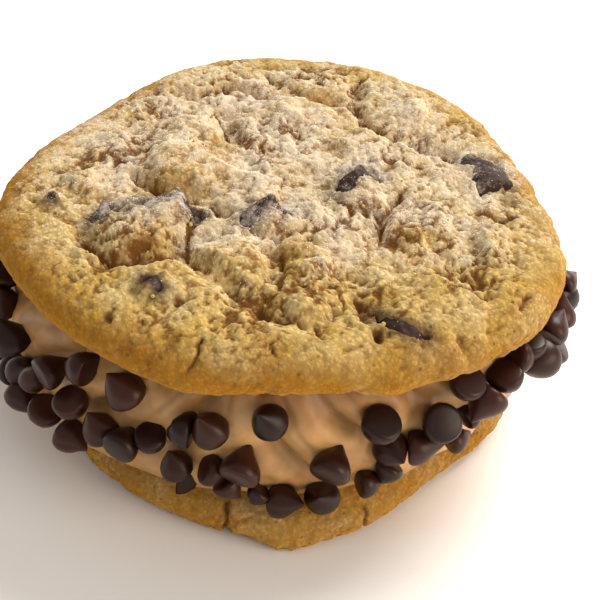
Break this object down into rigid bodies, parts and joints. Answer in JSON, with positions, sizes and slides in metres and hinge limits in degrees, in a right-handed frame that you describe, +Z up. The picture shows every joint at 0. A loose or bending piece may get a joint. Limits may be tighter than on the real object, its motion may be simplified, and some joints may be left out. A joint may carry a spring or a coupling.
{
  "type": "cookie sandwich",
  "caption": "Chocolate-chip cookie sandwich: two thick cookies round piped cannoli cream, mini chocolate chips pressed into its side, powdered sugar on top.",
  "frame": {"origin": "middle of the sandwich's outline, on the flat underside of the bottom cookie", "axes": "+Z up through the stack, -Y towards the side with the fewest mini chips, +X to the right seen from there"},
  "size_m": [0.1136, 0.103, 0.0507],
  "materials": {
    "cookie_dough": "baked cookie crust, dry and crumbly, matt",
    "cream": "smooth piped cream with a soft satin sheen",
    "chocolate": "dark chocolate with a soft sheen"
  },
  "bodies": {
    "root": {"cookie_bottom": "cookie_dough", "cream": "cream", "cookie_top": "cookie_dough", "baked_chip_1": "chocolate", "baked_chip_2": "chocolate", "baked_chip_3": "chocolate", "baked_chip_4": "chocolate", "baked_chip_5": "chocolate", "baked_chip_6": "chocolate", "baked_chip_7": "chocolate", "baked_chip_8": "chocolate"}
  },
  "joints": []
}
